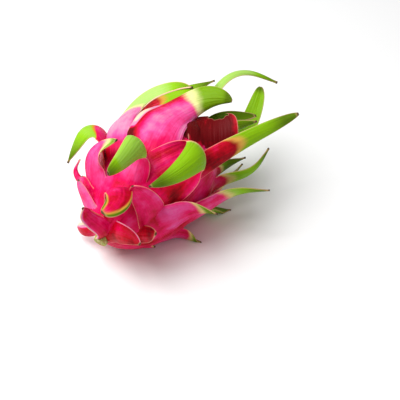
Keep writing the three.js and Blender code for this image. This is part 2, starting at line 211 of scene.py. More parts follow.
class StageSettings(bpy.types.PropertyGroup):
    """The floor, the lights and the camera."""

    floor: FloatVectorProperty(
        name="Floor", description="Colour of the floor", default=(0.9, 0.9, 0.9), size=3, subtype="COLOR"
    )
    floor_span: length("Floor span", "Side of the floor", 12)
    sky: FloatProperty(name="Sky", description="Strength of the light from all round", default=0.42, min=0)
    key: FloatProperty(name="Key", description="Power of the key light", default=12.9, min=0, unit="POWER")
    key_size: length("Key size", "Side of the key light", 0.8)
    key_distance: length("Key distance", "From the key light to the body's centre", 0.95)
    lens: FloatProperty(name="Lens", description="Focal length in millimetres", default=120, min=1)
    distance: length("Distance", "From the camera to what it looks at", 1.0)
    azimuth: angle("Azimuth", "Way that the camera looks from, round the fruit", -48.8)
    elevation: angle("Elevation", "How far the camera stands above the horizon", 40)
    shift_right: length("Shift right", "How far right of the body's centre it looks", 0.036)
    shift_down: length("Shift down", "How far below the body's centre it looks", 0.0135)


class FruitSettings(bpy.types.PropertyGroup):
    """Everything above, as one setting of the scene."""

    body: PointerProperty(type=BodySizes)
    blade: PointerProperty(type=BladeSizes)
    colours: PointerProperty(type=SkinColours)
    stage: PointerProperty(type=StageSettings)


# --------------------------------------------------------------------------------------------------
# The scales, in millimetres and degrees
#
#   at         height of its root along the fruit's axis, from the stem pole
#   turn       angle of its root round the axis, from the fruit's upper side towards -Y
#   pitch      way that its middle points: 0 along the axis to the crown, 90 out of the skin, 180 back
#   tip_pitch  way that its tip points, reached around u = bend
#   veer       turn of the plane that it grows in, away from the axis
#   yaw, swing sideways curve: yaw is reached at the tip, and swing is added around u = bend
#   twist      turn about its own middle line, reached at the tip
#   full       outline: 1 tapers evenly, more stays broad for longer; blunt under 1 rounds the tip
#   lop        how much fuller the outline is at v = 1 than at the middle, and leaner at v = -1
#   cup        half of the angle that it is curved across, in radians, and tip_cup the same past its bend:
#              under 0 the margins turn outwards; ripple is the wave of the margins
#   torn       share of its length that is torn off
#   green      u where its outer face turns green, inner the same for its inner face
#   soft       share of its length that the change takes; cream is how pale it is, 0 for amber
#   edge       how much sooner its margins turn green
#   deep       depth of its outer colour, from 0 for the palest pink to 1 for maroon, inner_deep the same inside;
#              set partly by the scale's own tone and partly as painted light and shade: lower where it is
#              lit, higher where it lies in shade, and higher inside, as painted shade of the inner faces
#   slant  how much deeper it is painted along the margin at v = 1, or at v = -1 if under 0: painted
#              shadow where a neighbouring scale overhangs that margin
#   rim        width of a pale band along the margin at v = 1, or at v = -1 if under 0, from rim_start to
#              rim_end in u
#   old        how dark its green is; dry is how far its dead point runs, 0 for none
# --------------------------------------------------------------------------------------------------

USUAL = dict(
    bend=0.65, veer=0, yaw=0, swing=0, twist=0, lop=0, blunt=1, cup=0.5, tip_cup=0.5, ripple=0.6, torn=0,
    green=0.62, inner=0.5, soft=0.16, edge=0.1, cream=0.5, deep=0.45, inner_deep=0.72, slant=0, rim=0,
    rim_start=0, rim_end=1.2, old=0.3, dry=1,
)

SCALES = [
    # round the stem
    dict(at=0.5, turn=42.2, length=50.3, half_width=9.9, pitch=8.2, tip_pitch=62.7, bend=0.6, veer=-100,
         yaw=-41.9, swing=14, twist=26.9, full=1.33, lop=-1.2, blunt=0.84, cup=0.42, tip_cup=-0.11,
         green=1.1, inner=1.2, cream=0.9, deep=0.55, rim=-1.2, dry=0.3),
    dict(at=0.5, turn=-114.8, length=32.4, half_width=6.8, pitch=110, tip_pitch=70.9, bend=0.63,
         veer=-10.6, yaw=-4.9, twist=-15, full=2.99, blunt=0.51, cup=0.48, tip_cup=0.38, green=1.1,
         inner=1.2, deep=0.68, rim=3, dry=0.3),
    dict(at=0.5, turn=51, length=46.3, half_width=9.1, pitch=93.6, tip_pitch=67.9, bend=0.56, veer=37,
         yaw=41.3, twist=2.7, full=2.75, blunt=0.69, cup=0.48, tip_cup=0.29, green=1.15, inner=1.2,
         deep=0.8, rim=-0.8, dry=0.5),
    dict(at=8.2, turn=75.6, length=42.6, half_width=7.2, pitch=66.8, tip_pitch=113, bend=0.35, veer=28.5,
         yaw=-4.6, swing=-21, twist=15.1, full=2.44, lop=-0.36, blunt=0.68, cup=0.3, tip_cup=0.09,
         green=1.1, inner=1.2, deep=0.9),
    # lower belly
    dict(at=8.3, turn=39.6, length=74.1, half_width=10.4, pitch=-7, tip_pitch=132, bend=0.39, veer=-59.3,
         yaw=-89.8, swing=12, twist=12.6, full=3.5, lop=0.3, blunt=0.4, cup=0.49, tip_cup=-0.38,
         green=1.05, inner=0.98, soft=0.26, edge=0.5, cream=0.1, deep=0.6, inner_deep=0.52, old=1.2,
         dry=0.8),
    dict(at=1.9, turn=-39.4, length=35.4, half_width=11.6, pitch=67.2, tip_pitch=75.8, bend=0.46,
         veer=-5.6, yaw=23.5, twist=1.3, full=1.91, blunt=0.75, cup=0.48, tip_cup=0.19, green=1.1,
         inner=1.1, deep=0.3, dry=0.3),
    dict(at=13.4, turn=-55.3, length=46.5, half_width=5.3, pitch=95.1, tip_pitch=10.9, bend=0.52,
         veer=-32.8, yaw=-15, twist=-39.1, full=0.58, blunt=0.79, cup=0.49, tip_cup=0.41, green=1.05,
         inner=1.1, inner_deep=0.3, dry=0.5),
    dict(at=9.7, turn=-50.1, length=23.8, half_width=11.2, pitch=80.2, tip_pitch=52.9, bend=0.66,
         veer=3.5, yaw=-1.9, twist=-16.8, full=3.09, blunt=0.4, cup=0.27, tip_cup=0.06, green=1.1,
         inner=1.2, deep=0.5, inner_deep=0.8, dry=0.3),
    dict(at=25.3, turn=74.5, length=44.9, half_width=10.9, pitch=17.9, tip_pitch=-3.5, bend=0.5,
         veer=-87.7, yaw=-16.9, twist=60, full=3.09, blunt=0.5, cup=0.38, tip_cup=-0.07, green=1.2,
         inner=1.2, soft=0.14, cream=0.6, deep=0.6, dry=0.1),
    # girth
    dict(at=21.7, turn=21.1, length=90.4, half_width=12.1, pitch=1.8, tip_pitch=171.4, bend=0.48,
         veer=-17.4, yaw=-30.4, swing=5.2, twist=58.6, full=3.41, lop=0.31, blunt=0.47, cup=0.32,
         tip_cup=-0.96, green=0.47, inner=0.3, soft=0.04, edge=0, deep=0.42, dry=0.5),
    dict(at=10.7, turn=-34.7, length=65.3, half_width=13.1, pitch=55.9, tip_pitch=2.2, bend=0.6, veer=-5,
         yaw=73.3, swing=27.3, twist=-17.1, full=1.81, lop=0.84, blunt=0.77, cup=0.81, tip_cup=-0.42,
         green=0.84, inner=0.8, soft=0.2, cream=0.7, deep=0.36, inner_deep=0.8, old=0.1),
    dict(at=31.2, turn=-50.6, length=73.1, half_width=15.2, pitch=33.4, tip_pitch=198.9, bend=0.5,
         veer=17, yaw=16.1, twist=59, full=1.88, blunt=1.08, cup=0.47, tip_cup=-0.47, green=0.54,
         soft=0.05, cream=0, deep=0.6, old=0.35),
    dict(at=40.4, turn=34.8, length=110.3, half_width=26.9, pitch=-15.3, tip_pitch=174.5, bend=0.42,
         veer=12, yaw=-32.5, swing=22.9, twist=-0.4, full=0.7, lop=0.26, blunt=0.7, cup=0.45, tip_cup=-1,
         green=0.5, inner=0.3, soft=0.05, edge=0, deep=0.56, inner_deep=0.42, old=0.5),
    # shoulder
    dict(at=43, turn=-10.2, length=108.9, half_width=13.8, pitch=-22.5, tip_pitch=-7.9, bend=0.77,
         veer=-40.8, yaw=90, swing=19.3, twist=4.3, full=2.85, lop=-1.2, blunt=1.3, cup=0.58, tip_cup=-1,
         green=0.58, soft=0.1, cream=0.7, deep=0.12, rim=1.8, old=0.1),
    dict(at=52.3, turn=18.3, length=97.8, half_width=26.5, pitch=-29.5, tip_pitch=34.7, bend=0.71,
         veer=-19.9, yaw=63.7, swing=20, twist=-5.3, full=0.96, lop=-0.84, blunt=0.59, cup=-0.2,
         tip_cup=1, green=0.73, inner=0.55, soft=0.12, edge=0, cream=0.8, deep=0.3, slant=-0.6, rim=-4,
         rim_start=0.33, rim_end=0.6, old=0.7, dry=0.3),
    dict(at=61.8, turn=57.5, length=98.8, half_width=8.8, pitch=31, tip_pitch=26.9, bend=0.85, veer=5.9,
         yaw=7.3, twist=4.5, full=1.46, blunt=0.47, cup=0.61, tip_cup=0.32, green=0.53, inner=0.45,
         soft=0.12, cream=0.15, deep=0.85, old=0.55),
    dict(at=61.1, turn=-51.2, length=93.6, half_width=17.8, pitch=19.8, tip_pitch=-26, bend=0.35,
         veer=1.1, yaw=24.8, twist=-60, full=1.64, blunt=1.11, tip_cup=0.05, green=0.55, inner=0.55,
         soft=0.12, cream=0.1, deep=0.85, inner_deep=0.8, old=0.4),
    dict(at=74, turn=102, length=70, half_width=9, pitch=34, tip_pitch=-12, bend=0.63, veer=9, yaw=-6,
         twist=12, full=1.4, green=0.4, inner=0.4, deep=0.6, old=0.4),
    dict(at=86, turn=98, length=36, half_width=8, pitch=12, tip_pitch=24, veer=8, full=1.5, green=0.4,
         inner=0.4, deep=0.6, old=0.7),
    # crown
    dict(at=90.3, turn=76.1, length=42.3, half_width=20.2, pitch=15.7, tip_pitch=-40.7, bend=0.39,
         veer=-45.4, yaw=35.3, swing=12, twist=60, full=7.84, lop=0.51, blunt=0.4, cup=0.6,
         tip_cup=-0.39, torn=0.07, green=1.2, inner=1.2, deep=1.08, inner_deep=1.1, dry=0),
    dict(at=103, turn=-39.9, length=103.2, half_width=6.3, pitch=11.7, tip_pitch=-61.9, veer=10.2,
         yaw=-2.6, twist=-60, full=1.37, blunt=0.69, cup=0.46, tip_cup=0.33, green=0.15, inner=0.3,
         soft=0.06, deep=0.5, old=0.2),
    dict(at=104.9, turn=158.2, length=87, half_width=8.2, pitch=54.2, tip_pitch=-22.8, bend=0.48,
         veer=-8.6, yaw=29.9, twist=-55, full=3.13, blunt=0.4, tip_cup=0.37, green=0.34, inner=0.34,
         deep=0.6, old=0.4, dry=0.3),
    dict(at=100, turn=285, length=44, half_width=13, pitch=12, tip_pitch=-16, full=1.5),
    dict(at=103, turn=328, length=34, half_width=9, pitch=12, tip_pitch=0, full=1.6),
    dict(at=84.3, turn=44.4, length=43.5, half_width=11, pitch=5.6, tip_pitch=-52.8, bend=0.37, veer=-38,
         yaw=31.7, swing=6.3, twist=-12.3, full=3.86, lop=-0.82, blunt=0.73, cup=0.42, tip_cup=0.51,
         green=1.2, inner=1.2, deep=1.2, inner_deep=1.2, dry=0),
    dict(at=104.9, turn=75.1, length=45.9, half_width=10.3, pitch=31.3, tip_pitch=45.7, bend=0.63,
         veer=-1.6, yaw=9.2, twist=4.3, full=1.76, blunt=0.89, tip_cup=0.54),
    dict(at=112, turn=153.4, length=55.3, half_width=12, pitch=-2.1, tip_pitch=31.5, bend=0.51,
         veer=-23.3, yaw=10.5, twist=-40.3, full=1.65, blunt=0.66, cup=0.52, tip_cup=0.99, green=0.3,
         inner=0.3, old=1),
]

# The rows of the far and under sides, evenly round the fruit with a little wobble.
FAR_ROWS = [
    dict(at=4, start=135, step=46, count=3, length=32, half_width=14, pitch=46, tip_pitch=64, full=1.8,
         green=1.0, inner=1.0),
    dict(at=20, start=88, step=46, count=5, length=52, half_width=18, pitch=24, tip_pitch=60, full=1.7,
         green=0.8, inner=0.74),
    dict(at=42, start=110, step=46, count=4, length=70, half_width=20, pitch=14, tip_pitch=60, full=1.5),
    dict(at=64, start=134, step=47, count=4, length=66, half_width=18, pitch=4, tip_pitch=4, full=1.4,
         green=0.55),
    dict(at=88, start=160, step=40, count=3, length=64, half_width=14, pitch=0, tip_pitch=-2, full=1.3,
         green=0.45),
]
# How large each wobble is, and how fast it runs from one scale to the next.
TURN_WOBBLE = (6, 2.4)
LENGTH_WOBBLE = (0.12, 3.7)
TIP_WOBBLE = (24, 5.3)
VEER_WOBBLE = (10, 4.1)


def wobbled(wobble, place):
    size, rate = wobble
    return size * math.sin(rate * place)


def far_scales():
    scales = []
    for row in FAR_ROWS:
        for i in range(row["count"]):
            place = len(scales) + 1
            scale = {k: row[k] for k in row if k not in ("start", "step", "count")}
            scale["turn"] = row["start"] + row["step"] * i + wobbled(TURN_WOBBLE, place)
            scale["length"] *= 1 + wobbled(LENGTH_WOBBLE, place)
            scale["tip_pitch"] += wobbled(TIP_WOBBLE, place)
            scale["veer"] = wobbled(VEER_WOBBLE, place)
            scales.append(scale)
    return scales


# --------------------------------------------------------------------------------------------------
# Shapes
# --------------------------------------------------------------------------------------------------


def blend(a, b, t):
    return a + (b - a) * t


def ease(x, low, high):
    """0 below low, 1 above high, and smooth between them."""
    t = np.clip((np.asarray(x, float) - low) / (high - low), 0, 1)
    return t * t * (3 - 2 * t)


def columns(*values):
    """Numbers as columns, to scale rows of vectors by."""
    return [np.asarray(v, float)[:, None] for v in values]


class FruitShape:
    """Places and directions on the body, worked out from its sizes."""

    def __init__(self, sizes):
        self.sizes = sizes
        rise, half = sizes.rise, sizes.length / 2
        self.half = half
        self.axis = np.array([math.cos(rise), 0, math.sin(rise)])
        self.upper = np.array([-math.sin(rise), 0, math.cos(rise)])
        self.front = np.array([0, -1.0, 0])
        drop = math.hypot(half * math.sin(rise), sizes.radius * math.cos(rise))
        lean = (half**2 - sizes.radius**2) * math.sin(rise) * math.cos(rise) / drop
        self.centre = np.array([lean, 0, drop - sizes.spot_depth])
        self.pole = self.centre - self.axis * half

    def radial(self, turn):
        return math.cos(turn) * self.upper + math.sin(turn) * self.front

    def around(self, turn):
        return -math.sin(turn) * self.upper + math.cos(turn) * self.front

    def skin_radius(self, polar):
        return self.sizes.radius * np.sin(polar) * (1 - self.sizes.fullness * np.cos(polar))

    def skin_height(self, polar):
        return self.half * (1 - np.cos(polar))

    def polar_at(self, at):
        return math.acos(min(max(1 - at / self.half, -1), 1))

    def slope_at(self, at, step=0.01, margin=0.05):
        """Angle between the skin and the axis, positive where the body widens towards the crown."""
        polar = min(max(self.polar_at(at), margin), math.pi - margin)
        widening = self.skin_radius(polar + step) - self.skin_radius(polar - step)
        return math.atan2(widening, self.skin_height(polar + step) - self.skin_height(polar - step))


class Blade:
    """One scale: its middle surface, its thickness and what its faces carry."""

    SPINE_STEPS = 60
    # In u: where it has turned from the skin's slope to its own pitch, how far its bend spreads each way,
    # where its thick root ends, between which places it leaves the body's curve for its own cup, and how
    # long before the bend its tip's cup begins.
    ROOT_TURNED = 0.5
    BEND_SPREAD = 0.25
    ROOT_END = 0.35
    CUP_SETTLES = (0.1, 0.8)
    CUP_LEAD = 0.35
    # In radians: the least and the most that its root is curved across.
    ROOT_CUP = (0.1, 0.8)
    # A tear has broad waves and fine teeth: their share of what is torn off, and their rates across.
    TEAR_BROAD, TEAR_BROAD_RATE, TEAR_BROAD_START = 0.7, 3.4, 0.9
    TEAR_FINE, TEAR_FINE_RATE = 0.2, 17
    RIPPLE_RATE = 7
    # How thin the margin gets at last, and how late: a higher power keeps it thick for longer.
    MARGIN_ROUNDING, MARGIN_ROUNDING_POWER = 0.75, 14

    def __init__(self, scale, shape, sizes, place):
        self.__dict__.update(USUAL | scale)
        self.sizes, self.place = sizes, place
        self.at, self.length, self.half_width, self.ripple = (
            x * MM for x in (self.at, self.length, self.half_width, self.ripple)
        )
        turn, veer, polar = math.radians(self.turn), math.radians(self.veer), shape.polar_at(self.at)
        self.radial, around = shape.radial(turn), shape.around(turn)
        self.slope = shape.slope_at(self.at)
        self.skin = max(float(shape.skin_radius(polar)), MM)
        normal = self.radial * math.cos(self.slope) - shape.axis * math.sin(self.slope)
        height, radius = shape.skin_height(polar), shape.skin_radius(polar)
        self.on_skin = shape.pole + shape.axis * height + self.radial * radius
        self.heading = shape.axis * math.cos(veer) + around * math.sin(veer)
        self.side = -shape.axis * math.sin(veer) + around * math.cos(veer)
        middles = (np.arange(self.SPINE_STEPS) + 0.5) / self.SPINE_STEPS
        forward = self.frames(middles)[0] * (self.length / self.SPINE_STEPS)
        steps = np.vstack([[0, 0, 0], np.cumsum(forward, 0)])
        self.spine = steps + self.on_skin - normal * sizes.root_depth

    def frames(self, u):
        """The directions along, across and out of the blade at each u, one row each."""
        root_pitch = math.degrees(self.slope + self.sizes.root_rise)
        middle = blend(root_pitch, self.pitch, ease(u, 0, self.ROOT_TURNED))
        bent = ease(u, self.bend - self.BEND_SPREAD, self.bend + self.BEND_SPREAD)
        pitch = np.radians(blend(middle, self.tip_pitch, bent))
        yaw, twist = np.radians(self.yaw * u * u + self.swing * bent), np.radians(self.twist * u)
        cos_p, sin_p, cos_y, sin_y, cos_t, sin_t = columns(
            np.cos(pitch), np.sin(pitch), np.cos(yaw), np.sin(yaw), np.cos(twist), np.sin(twist)
        )
        forward = self.heading * cos_p + self.radial * sin_p
        out = -self.heading * sin_p + self.radial * cos_p
        along, across = forward * cos_y + self.side * sin_y, -forward * sin_y + self.side * cos_y
        return along, across * cos_t + out * sin_t, out * cos_t - across * sin_t

    def reach(self, v):
        """Where the blade ends at each place across it: the whole length, or a ragged tear."""
        broad = self.TEAR_BROAD * np.sin(self.TEAR_BROAD_RATE * v + self.TEAR_BROAD_START)
        fine = self.TEAR_FINE * np.sin(self.TEAR_FINE_RATE * v)
        return 1 - self.torn * (1 + broad + fine)

    def half_width_at(self, u, v):
        width = self.half_width * np.maximum(0, 1 - u ** (self.full * np.exp(self.lop * v))) ** self.blunt
        return np.maximum(self.sizes.tip_half_width, width)

    def thickness(self, u, v):
        sizes = self.sizes
        root = blend(sizes.root_thickness, sizes.middle_thickness, ease(u, 0, self.ROOT_END))
        core = blend(root, sizes.tip_thickness, ease(u, self.ROOT_END, 1))
        lens = blend(core, sizes.margin_thickness, v * v)
        return lens * np.sqrt(1 - self.MARGIN_ROUNDING * np.abs(v) ** self.MARGIN_ROUNDING_POWER)

    def surface(self, u, v):
        """Points of the middle surface."""
        place = np.clip(u, 0, 1) * self.SPINE_STEPS
        steps = np.arange(self.SPINE_STEPS + 1)
        points = np.stack([np.interp(place, steps, self.spine[:, k]) for k in range(3)], 1)
        _, across, out = self.frames(u)
        half = self.half_width_at(u, v)
        cup = blend(np.clip(half / self.skin, *self.ROOT_CUP), self.cup, ease(u, *self.CUP_SETTLES))
        cup = blend(cup, self.tip_cup, ease(u, self.bend - self.CUP_LEAD, self.bend))
        wave = self.ripple * v * np.abs(v) * np.sin(self.RIPPLE_RATE * u + self.turn)
        sideways = half * v * np.sinc(cup * v / math.pi)
        inwards = wave - half * v * np.sin(cup * v / 2) * np.sinc(cup * v / 2 / math.pi)
        sideways, inwards = columns(sideways, inwards)
        points += across * sideways + out * inwards
        points[:, 2] = np.maximum(points[:, 2], self.sizes.floor_clearance)
        return points


# --------------------------------------------------------------------------------------------------
# Small helpers round Blender's operators
# --------------------------------------------------------------------------------------------------


def nothing_selected():
    if bpy.context.object and bpy.context.object.mode != "OBJECT":
        bpy.ops.object.mode_set(mode="OBJECT")
    bpy.ops.object.select_all(action="DESELECT")


def only(obj):
    nothing_selected()
    obj.select_set(True)
    bpy.context.view_layer.objects.active = obj
    return obj


def named(name):
    """The new active object, renamed."""
    obj = bpy.context.active_object
    obj.name = obj.data.name = name
    return obj


def get(name):
    obj = bpy.data.objects.get(name)
    if obj is None:
        raise RuntimeError(f"{name} isn't there yet: run the operators from the top")
    return obj


def applied(obj, kind, **settings):
    """Adds a modifier with these settings and applies it."""
    only(obj)
    modifier = obj.modifiers.new(kind.title(), kind)
    for name, value in settings.items():
        setattr(modifier, name, value)
    bpy.ops.object.modifier_apply(modifier=modifier.name)
    return obj


def points_of(mesh):
    found = np.empty(len(mesh.vertices) * 3)
    mesh.vertices.foreach_get("co", found)
    return found.reshape(-1, 3)


def move_points(mesh, points):
    mesh.vertices.foreach_set("co", np.asarray(points, float).ravel())
    mesh.update()


def corner_points(mesh):
    """The vertex of each face corner."""
    found = np.empty(len(mesh.loops), int)
    mesh.loops.foreach_get("vertex_index", found)
    return found


def corner_faces(mesh):
    """The face of each face corner."""
    sizes = np.empty(len(mesh.polygons), int)
    mesh.polygons.foreach_get("loop_total", sizes)
    return np.repeat(np.arange(len(sizes)), sizes)


def read_map(mesh, name):
    found = np.empty(len(mesh.loops) * 2)
    mesh.uv_layers[name].data.foreach_get("uv", found)
    return found.reshape(-1, 2)


def write_map(mesh, name, first, second):
    """Writes two numbers for each face corner as a UV map."""
    layer = mesh.uv_layers.get(name) or mesh.uv_layers.new(name=name)
    pair = np.stack(np.broadcast_arrays(first, second, np.zeros(len(mesh.loops)))[:2], 1)
    layer.data.foreach_set("uv", pair.astype(np.float32).ravel())


def read_growth(mesh):
    found = np.empty(len(mesh.polygons), np.int32)
    mesh.attributes[GROWTH].data.foreach_get("value", found)
    return found


def write_growth(mesh, number):
    """Marks every face with what it grew as."""
    layer = mesh.attributes.get(GROWTH) or mesh.attributes.new(GROWTH, "INT", "FACE")
    layer.data.foreach_set("value", np.full(len(mesh.polygons), number, np.int32))


def plain_skin(mesh):
    """Gives a mesh that is no scale the maps and the mark of bare skin."""
    for name, pair in BARE_SKIN.items():
        write_map(mesh, name, *pair)
    mesh.uv_layers.remove(mesh.uv_layers["UVMap"])
    write_growth(mesh, AS_BODY)


def write_weights(obj, name, weights, least=0.001):
    """A vertex group that holds every weight over the least one."""
    group = obj.vertex_groups.new(name=name)
    for i in np.flatnonzero(weights > least):
        group.add([int(i)], float(weights[i]), "REPLACE")
    return group.name


# --------------------------------------------------------------------------------------------------
# Materials
# --------------------------------------------------------------------------------------------------


# The colours that skin runs through as it deepens, from painted highlight through its own pinks to painted
# shade, green as it ages, starting from a pale green that is partly painted highlight, and wood from fibre
# to fibre.
SKIN_STOPS = ((0.0, "bloom_and_highlight"), (0.28, "pink"), (0.55, "magenta"), (0.78, "crimson"), (1.0, "maroon"))
GREEN_STOPS = ((0.0, "pale_green"), (0.4, "lime"), (1.0, "olive"))
WOOD_STOPS = ((0.25, "bark"), (0.5, "straw"), (0.8, "cream"))

# Where each change begins, and where it is complete: as a scale ripens from 0 to 1, by the depth of its
# colour, by the millimetres to its tip or its margin, and in the noise.
BAND_RIPE = (0.0, 0.5)
GREEN_RIPE = (0.4, 1.0)
FLESH_DEPTH = (-0.9, -1.6)
ROUGH_DEPTH = (0.6, 0.95)
OLD_TIP = (28.0, 2.0)
STRAW_TIP = (3.2, 1.6)
BARK_TIP = (1.8, 0.7)
DRY_MARGIN = (0.55, 0.1)
PALE_SPECKS = (0.6, 0.78)
DULL_CLOUDS = (0.3, 0.7)
GREEN_PATCHES = (0.45, 0.65)


class Recipe:
    """Builds one material's nodes, each call returning the socket that carries its result."""

    # Sockets of the mix node for its two colours, and the one for what they make.
    COLOUR_A, COLOUR_B, MIXED = 6, 7, 2

    def __init__(self, name):
        self.material = bpy.data.materials.new(name)
        self.material.use_nodes = True
        self.nodes, self.links = self.material.node_tree.nodes, self.material.node_tree.links
        self.shader = self.nodes["Principled BSDF"]

    def link(self, value, socket):
        if isinstance(value, bpy.types.NodeSocket):
            self.links.new(value, socket)
        else:
            socket.default_value = (*value, 1) if socket.type == "RGBA" else value

    def set(self, **values):
        """Sets or links the shader's sockets, each named with _ for its spaces."""
        for name, value in values.items():
            self.link(value, self.shader.inputs[name.replace("_", " ")])

    def node(self, kind, inputs=(), **settings):
        made = self.nodes.new(kind)
        for name, value in settings.items():
            setattr(made, name, value)
        for name, value in dict(inputs).items():
            self.link(value, made.inputs[name])
        return made

    def map(self, name):
        """Both numbers of one of the skin's maps."""
        pair = self.node("ShaderNodeUVMap", uv_map=name).outputs[0]
        apart = self.node("ShaderNodeSeparateXYZ", {0: pair})
        return apart.outputs[0], apart.outputs[1]

    def math(self, operation, *values):
        return self.node("ShaderNodeMath", enumerate(values), operation=operation).outputs[0]

    def between(self, value, start, end, before=0.0, after=1.0):
        """before until value comes to start, after once it is past end, and smooth between them."""
        inputs = {"Value": value, "From Min": start, "From Max": end, "To Min": before, "To Max": after}
        return self.node("ShaderNodeMapRange", inputs, interpolation_type="SMOOTHSTEP").outputs[0]

    def noise(self, at, cycles, detail, roughness):
        """Cloudy noise from 0 to 1, with this many cycles to each unit of at."""
        inputs = {"Vector": at, "Scale": cycles, "Detail": detail, "Roughness": roughness}
        return self.node("ShaderNodeTexNoise", inputs).outputs["Fac"]

    def streaked(self, at, along, across, detail, roughness):
        """The same, with its own number of cycles along and across."""
        inputs = {0: at, 1: (along, across, 1.0)}
        stretched = self.node("ShaderNodeVectorMath", inputs, operation="MULTIPLY").outputs[0]
        return self.noise(stretched, 1.0, detail, roughness)

    def swayed(self, value, noise, by):
        """The value, moved up and down by a noise."""
        return self.math("MULTIPLY_ADD", self.math("SUBTRACT", noise, 0.5), by, value)

    def mix(self, share_of_b, a, b):
        made = self.node("ShaderNodeMix", data_type="RGBA")
        self.link(share_of_b, made.inputs[0])
        self.link(a, made.inputs[self.COLOUR_A])
        self.link(b, made.inputs[self.COLOUR_B])
        return made.outputs[self.MIXED]

    def ramp(self, value, stops, colours):
        """The colours that these stops name, one after another as the value rises."""
        made = self.node("ShaderNodeValToRGB", {"Fac": value})
        elements = made.color_ramp.elements
        while len(elements) < len(stops):
            elements.new(1.0)
        for element, (place, name) in zip(elements, stops):
            element.position, element.color = place, (*getattr(colours, name), 1)
        return made.outputs[0]

    def bump(self, height, strength, distance):
        inputs = {"Height": height, "Strength": strength, "Distance": distance}
        return self.node("ShaderNodeBump", inputs).outputs[0]


def skin_material(colours):
    """Waxy skin: pink that deepens into the folds as painted shade and pales as painted highlight where
    lit, and scales that turn through cream or amber to green.
    """
    recipe = Recipe("dragon_fruit_skin")
    u, margin = recipe.map(BLADE)
    start, soft = recipe.map(RIPENING)
    depth, cream = recipe.map(TONE)
    tip, old = recipe.map(ENDS)
    grain = recipe.node("ShaderNodeUVMap", uv_map=GRAIN).outputs[0]
    place = recipe.node("ShaderNodeTexCoord").outputs["Object"]

    streaks = recipe.streaked(grain, along=0.05, across=0.9, detail=4.0, roughness=0.6)
    bands = recipe.streaked(grain, along=0.012, across=0.1, detail=0.0, roughness=0.4)
    veins = recipe.streaked(grain, along=0.06, across=1.3, detail=3.0, roughness=0.55)
    ribs = recipe.streaked(grain, along=0.03, across=0.3, detail=1.0, roughness=0.5)
    clouds = recipe.noise(place, cycles=70.0, detail=3.0, roughness=0.55)
    mottle = recipe.noise(place, cycles=240.0, detail=3.0, roughness=0.6)
    speckle = recipe.noise(place, cycles=1400.0, detail=2.0, roughness=0.6)

    ripe = recipe.math("DIVIDE", recipe.math("SUBTRACT", u, start), soft)
    ripe = recipe.swayed(ripe, streaks, by=0.35)
    ripe = recipe.swayed(ripe, clouds, by=0.6)
    ripe = recipe.math("ADD", ripe, 0.5)
    for noise, sway in ((clouds, 0.8), (mottle, 0.2), (streaks, 0.2), (bands, 0.5)):
        depth = recipe.swayed(depth, noise, by=sway)
    age = recipe.swayed(old, streaks, by=0.25)
    age = recipe.math("ADD", age, recipe.between(tip, *OLD_TIP, after=0.65))

    band = recipe.mix(cream, colours.amber, colours.cream)
    shade = recipe.ramp(depth, SKIN_STOPS, colours)
    shade = recipe.mix(recipe.between(ripe, *BAND_RIPE), shade, band)
    shade = recipe.mix(recipe.between(ripe, *GREEN_RIPE), shade, recipe.ramp(age, GREEN_STOPS, colours))
    shade = recipe.mix(recipe.between(depth, *FLESH_DEPTH), shade, colours.flesh)

    edge = recipe.swayed(margin, clouds, by=0.5)
    shade = recipe.mix(recipe.between(edge, *DRY_MARGIN, after=0.4), shade, colours.margin)
    dead = recipe.swayed(tip, streaks, by=2.0)
    shade = recipe.mix(recipe.between(dead, *STRAW_TIP, after=0.7), shade, colours.straw)
    shade = recipe.mix(recipe.between(dead, *BARK_TIP, after=0.9), shade, colours.bark)
    shade = recipe.mix(recipe.between(speckle, *PALE_SPECKS, after=0.04), shade, colours.bloom_and_highlight)

    waxy = recipe.between(clouds, *DULL_CLOUDS, before=0.3, after=0.44)
    relief = 0.0
    for noise, height in ((speckle, 0.06), (veins, 0.4), (ribs, 1.6)):
        relief = recipe.math("MULTIPLY_ADD", noise, height, relief)
    recipe.set(
        Base_Color=shade,
        Roughness=recipe.between(depth, *ROUGH_DEPTH, before=waxy, after=0.5),
        Specular_IOR_Level=0.09,
        Subsurface_Weight=0.05,
        Subsurface_Radius=(1.0, 0.3, 0.25),
        Subsurface_Scale=0.002,
        Normal=recipe.bump(relief, strength=0.6, distance=0.001),
    )
    return recipe.material


def stem_material(colours):
    """The cut stem: dry, fibrous and pale brown, with patches of green."""
    recipe = Recipe("dragon_fruit_stem")
    place = recipe.node("ShaderNodeTexCoord").outputs["Object"]
    fibres = recipe.streaked(place, along=900.0, across=900.0, detail=4.0, roughness=0.65)
    patches = recipe.noise(place, cycles=260.0, detail=3.0, roughness=0.6)
    wood = recipe.ramp(fibres, WOOD_STOPS, colours)
    recipe.set(
        Base_Color=recipe.mix(recipe.between(patches, *GREEN_PATCHES, after=0.5), wood, colours.lime),
        Roughness=0.75,
        Normal=recipe.bump(fibres, strength=0.6, distance=0.0008),
    )
    return recipe.material


def floor_material(settings):
    """Plain pale floor."""
    recipe = Recipe("studio_floor")
    recipe.set(Base_Color=settings.floor, Roughness=0.9, Specular_IOR_Level=0.1)
    return recipe.material


# --------------------------------------------------------------------------------------------------
# Operators
# --------------------------------------------------------------------------------------------------


def settings_of(context):
    return context.scene.dragon_fruit


def all_blades(settings):
    shape = FruitShape(settings.body)
    return [Blade(s, shape, settings.blade, i) for i, s in enumerate(SCALES + far_scales())]


